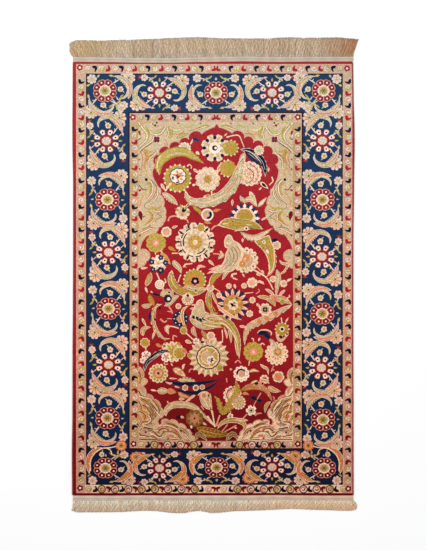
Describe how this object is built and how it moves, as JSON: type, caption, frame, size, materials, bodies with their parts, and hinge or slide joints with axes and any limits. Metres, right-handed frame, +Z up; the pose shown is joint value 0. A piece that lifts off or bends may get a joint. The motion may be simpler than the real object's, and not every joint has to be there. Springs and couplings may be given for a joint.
{
  "type": "silk carpet",
  "caption": "Rectangular hand-knotted silk carpet with overcast side cords, flat-woven ends and a warp fringe at both short ends, lying flat.",
  "frame": {"origin": "middle of the whole outline, fringes included, on the plane that the carpet lies on", "axes": "+Y along the length towards the end with the longer fringe, +X across the width, +Z up out of the pile"},
  "size_m": [1.005, 1.6714, 0.0045],
  "materials": {
    "pile_silk": "short clipped silk pile with a soft sheen, floral design in crimson, navy, ivory, olive and rose",
    "side_silk": "crimson silk overcast round the side cords",
    "end_silk": "undyed tan silk warp and weft, matt to softly lustrous"
  },
  "bodies": {
    "root": {"pile_carpet": "pile_silk", "side_cord_left": "side_silk", "side_cord_right": "side_silk", "fringed_end_top": "end_silk", "fringed_end_bottom": "end_silk"}
  },
  "joints": []
}
